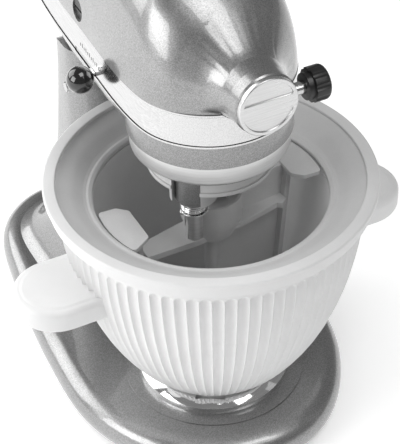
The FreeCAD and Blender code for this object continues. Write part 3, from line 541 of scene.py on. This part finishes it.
def make_liner():
    """Cold inner wall: a flat floor, a rounded knuckle and a flaring wall."""
    lo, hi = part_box("bowl_inner_liner")
    floor = lo.z / MM + LINER_FLOOR
    level = floor + 0.1
    start = (54.2, floor + KNUCKLE)
    wall = curve_through([start, (63.5, 94), (71.8, 136), (76.4, hi.z / MM)], 8)
    knuckle = curve_through([(41, level), (49.4, floor + 4), start], 6)[1:-1]
    inside = [(LINER_MIDDLE, level), (41, level)] + knuckle + wall
    outside = [(r + LINER_WALL, z - (LINER_DROP if r < 50 else 0)) for r, z in reversed(inside)]
    outside[-1] = (LINER_MIDDLE, outside[-1][1])
    mesh = lathe("bowl_cold_wall", inside + outside, 160, 60)
    finish_piece("bowl_cold_wall", mesh, "bowl", "liner_metal", ("bowl_inner_liner",))


make_bowl_body()
make_handle(1, "bowl_handle_right")
make_handle(-1, "bowl_handle_left")
make_top_ring()
make_liner()


# ---- head: the casting flows into the hub's barrel ------------------------------------
CAP_LO, CAP_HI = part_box("hub_cap")
HUB_Z = (CAP_LO.z + CAP_HI.z) / 2
HUB_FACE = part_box("attachment_hub")[0].y
BARREL_R = (CAP_HI.x - CAP_LO.x) / 2 + 1.0 * MM
BAND_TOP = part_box("trim_band")[1].z
FLARE_AROUND, FLARE_ALONG = 120, 18
FLARE_REACH = BARREL_R + 21 * MM
FLARE_PULL = 0.42               # length of each tangent, as a share of the span
FLARE_START = 5 * MM            # behind the barrel's face
SUNK_START, SUNK_END = 0.05 * MM, 0.08 * MM     # how deep the flare's two ends are let in


def surface_of(node):
    """The CAD surface of a node, for finding points on it."""
    piece = NODES[node]
    corners = [piece.matrix_world @ v.co for v in piece.data.vertices]
    return BVHTree.FromPolygons(corners, [tuple(f.vertices) for f in piece.data.polygons])


def flare_end(dome, out):
    """Where the flare meets the dome in one direction, and the normal there."""
    far = FLARE_REACH
    if out.z < 0:
        far = min(far, (HUB_Z - BAND_TOP - 0.2 * MM) / -out.z)
    far = max(far, BARREL_R + 1.0 * MM)
    ahead = Vector((0, HUB_FACE - 0.1, HUB_Z)) + out * far
    spot, normal, _, _ = dome.ray_cast(ahead, Vector((0, 1, 0)))
    if spot is None:
        near = Vector((0, HUB_FACE + 30 * MM, HUB_Z)) + out * far
        spot, normal, _, _ = dome.find_nearest(near)
    if normal.y > 0:
        normal = -normal
    return spot, normal


def make_hub_blend():
    """Fill the corner between barrel and dome with one smooth flare that ends at the band."""
    dome = surface_of("upper_housing")
    points, faces = [], []
    for k in range(FLARE_AROUND):
        turn = 2 * math.pi * k / FLARE_AROUND
        out = Vector((math.cos(turn), 0, math.sin(turn)))
        start = Vector((0, HUB_FACE + FLARE_START, HUB_Z)) + out * (BARREL_R - SUNK_START)
        spot, normal = flare_end(dome, out)
        inward = (-out - normal * (-out).dot(normal)).normalized()
        span = (spot - start).length
        a = start + Vector((0, 1, 0)) * span * FLARE_PULL
        b = spot + inward * span * FLARE_PULL
        spot = spot - normal * SUNK_END
        for i in range(FLARE_ALONG + 1):
            t = i / FLARE_ALONG
            points.append(tuple((1 - t) ** 3 * start + 3 * t * (1 - t) ** 2 * a
                                + 3 * t * t * (1 - t) * b + t ** 3 * spot))
    width = FLARE_ALONG + 1
    for k in range(FLARE_AROUND):
        here, there = k * width, (k + 1) % FLARE_AROUND * width
        for i in range(FLARE_ALONG):
            faces.append((here + i, there + i, there + i + 1, here + i + 1))
    mesh = mesh_of("hub_flare", points, faces, 60)
    finish_piece("hub_flare", mesh, "head", "body_paint")


MARKS, MARK_START, MARK_PITCH = 11, 0.5, 3.0
MARK_FOOT, MARK_HALF = 264.6, 0.22
MARK_TALL = (2.0, 3.0)          # heights, in turn
MARK_IN, MARK_OUT = 0.1, 0.12   # from the band's surface
BOX_FACES = ((1, 3, 7, 5), (0, 4, 6, 2), (0, 1, 5, 4), (2, 6, 7, 3), (0, 2, 3, 1), (4, 5, 7, 6))


def make_speed_marks():
    """Short raised strokes on the trim band beside the speed slot."""
    band = surface_of("trim_band")
    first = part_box("speed_lever")[0].y
    points, faces = [], []
    for i in range(MARKS):
        y = first + (MARK_START + MARK_PITCH * i) * MM
        foot = MARK_FOOT * MM
        for z in (foot, foot + MARK_TALL[i % 2] * MM):
            for dy in (-MARK_HALF * MM, MARK_HALF * MM):
                spot = band.ray_cast(Vector((-0.2, y + dy, z)), Vector((1, 0, 0)))[0]
                points.append(tuple(spot + Vector((MARK_IN * MM, 0, 0))))
                points.append(tuple(spot - Vector((MARK_OUT * MM, 0, 0))))
        faces += [tuple(8 * i + q for q in quad) for quad in BOX_FACES]
    mesh = mesh_of("speed_marks", points, faces, 30)
    finish_piece("speed_marks", mesh, "head", "black_plastic")


make_hub_blend()
make_speed_marks()


# ---- beater shaft's spring ----------------------------------------------------------
SPRING_WIRE = 0.62              # radius of the wire
SPRING_TURNS, SPRING_STEPS = 3, 20


def make_spring():
    lo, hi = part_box("beater_spring")
    centre = (lo + hi) / 2
    wire = SPRING_WIRE * MM
    mean = (hi.x - lo.x) / 2 - wire
    curve = bpy.data.curves.new("spring", "CURVE")
    curve.dimensions = "3D"
    curve.bevel_depth = wire
    curve.bevel_resolution = 3
    curve.use_fill_caps = True
    spline = curve.splines.new("POLY")
    spans = SPRING_TURNS * SPRING_STEPS
    spline.points.add(spans)
    for i in range(spans + 1):
        angle = 2 * math.pi * i / SPRING_STEPS
        height = lo.z + wire + (hi.z - lo.z - 2 * wire) * i / spans
        x, y = centre.x + mean * math.cos(angle), centre.y + mean * math.sin(angle)
        spline.points[i].co = (x, y, height, 1)
    path = bpy.data.objects.new("spring_path", curve)
    bpy.context.scene.collection.objects.link(path)
    bpy.context.view_layer.update()
    graph = bpy.context.evaluated_depsgraph_get()
    mesh = bpy.data.meshes.new_from_object(path.evaluated_get(graph))
    bpy.data.objects.remove(path)
    smooth(mesh, 60)
    mesh.materials.clear()
    finish_piece("beater_spring_coil", mesh, "beater", "polished_chrome", ("beater_spring",))


make_spring()


# ---- CAD pieces with their edges rounded, in millimetres ----------------------------
SOFT_EDGES = {
    "dasher": 0.35, "drive_clip": 0.35, "hub_cap": 0.3, "bowl_clamp_plate": 0.6,
    "beater_shaft": 0.5, "beater_cross_pin": 0.4, "speed_lever": 0.4, "attachment_knob": 0.6,
    "knob_shank": 0.3, "lock_lever": 0.6, "brush_caps": 0.4, "hinge_pin": 0.4,
    "rubber_feet": 0.6, "planetary_ring": 0.4, "rear_cover_screw": 0.3,
    "beater_washers": 0.25, "bowl_foot": 0.4,
}
for soft_node, soft_width in SOFT_EDGES.items():
    soften(soft_node, soft_width)


# ---- floor and light ----------------------------------------------------------------
FLOOR_HALF = 6.0
AIM = (0, AXIS_Y + 0.05, 0.18)
# name, place, what it is aimed at, width, power in watts, height over width
LIGHTS = [
    ("key_left", (-2.0, -0.1, 1.0), AIM, 1.3, 24, 1.0),
    ("back_left", (-1.25, 1.6, 1.25), AIM, 1.9, 34, 1.0),
    ("top_soft", (0.1, -0.65, 2.1), AIM, 1.0, 13, 1.0),
    ("bowl_front", (0.22, AXIS_Y - 0.50, 0.80), (0, AXIS_Y, 0.12), 0.3, 0.6, 1.0),
    ("fill_right", (1.7, -0.9, 0.9), AIM, 0.4, 0.3, 2.4),
]
WORLD_STRENGTH = 0.22


def make_floor():
    mesh = bpy.data.meshes.new("floor")
    corners = [(x * FLOOR_HALF, y * FLOOR_HALF, 0) for x, y in ((-1, -1), (1, -1), (1, 1), (-1, 1))]
    mesh.from_pydata(corners, [], [(0, 1, 2, 3)])
    floor = bpy.data.objects.new("floor", mesh)
    bpy.context.scene.collection.objects.link(floor)
    f = Finish("floor", Roughness=0.9, Emission_Color=(1, 1, 1, 1), Emission_Strength=0.4)
    f.colour(f.noise(3, 2), grey(0.88), grey(0.90))
    mesh.materials.append(f.material)


def area_light(name, place, target, width, power, aspect):
    data = bpy.data.lights.new(name, "AREA")
    data.shape = "RECTANGLE"
    data.size = width
    data.size_y = width * aspect
    data.energy = power
    lamp = bpy.data.objects.new(name, data)
    bpy.context.scene.collection.objects.link(lamp)
    lamp.location = place
    lamp.rotation_euler = (Vector(target) - Vector(place)).to_track_quat("-Z", "Y").to_euler()


def make_light():
    for row in LIGHTS:
        area_light(*row)
    world = bpy.data.worlds.new("studio")
    bpy.context.scene.world = world
    world.use_nodes = True
    background = world.node_tree.nodes["Background"]
    background.inputs["Color"].default_value = (1, 1, 1, 1)
    background.inputs["Strength"].default_value = WORLD_STRENGTH


make_floor()
make_light()
bpy.context.scene.view_settings.view_transform = "Standard"
